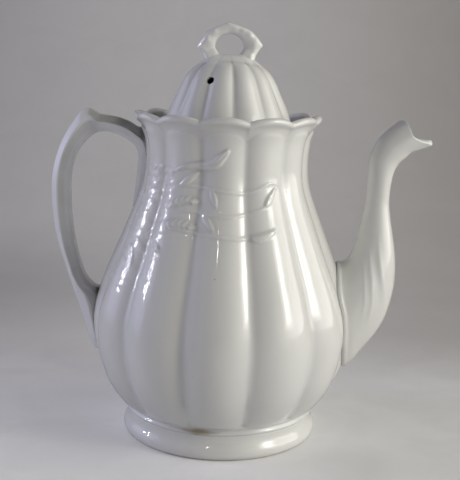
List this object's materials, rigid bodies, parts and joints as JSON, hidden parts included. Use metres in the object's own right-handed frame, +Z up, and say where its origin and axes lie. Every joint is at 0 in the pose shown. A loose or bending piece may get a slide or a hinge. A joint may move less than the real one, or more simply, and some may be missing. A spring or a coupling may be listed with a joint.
{
  "type": "coffee pot",
  "caption": "Lobed ceramic coffee pot with a pear body on a flared foot, swan-neck spout, strap handle and lift-off domed lid with a twig-ring finial.",
  "frame": {"origin": "on the plane the foot stands on, midway between the back of the handle and the tip of the spout and on the pot's mirror plane; the pot's own axis, which the lid lifts along, stands at x = -0.00825", "axes": "+X towards the spout, -X towards the handle, +Z up along the pot's axis, +Y completes a right-handed frame and points out of the far side when the spout is on the right"},
  "size_m": [0.2328, 0.1626, 0.254],
  "materials": {
    "white_glaze": "clear gloss glaze over a white stoneware body, slightly grey in the creases"
  },
  "bodies": {
    "pot": {"body_wall": "white_glaze", "floor_disc": "white_glaze", "foot_ring": "white_glaze", "lid_seat_ring": "white_glaze", "spout": "white_glaze", "handle": "white_glaze"},
    "lid_lifter": {"lid_collar": "white_glaze"},
    "lid": {"lid_dome": "white_glaze", "lid_finial": "white_glaze"}
  },
  "joints": [
    {"name": "lid_lift", "type": "slide", "parent": "pot", "child": "lid_lifter", "axis": [0, 0, 1], "range_m": [0, 0.06]},
    {"name": "lid_turn", "type": "hinge", "parent": "lid_lifter", "child": "lid", "pos_m": [-0.00825, 0, 0.19], "axis": [0, 0, 1], "continuous": true}
  ]
}
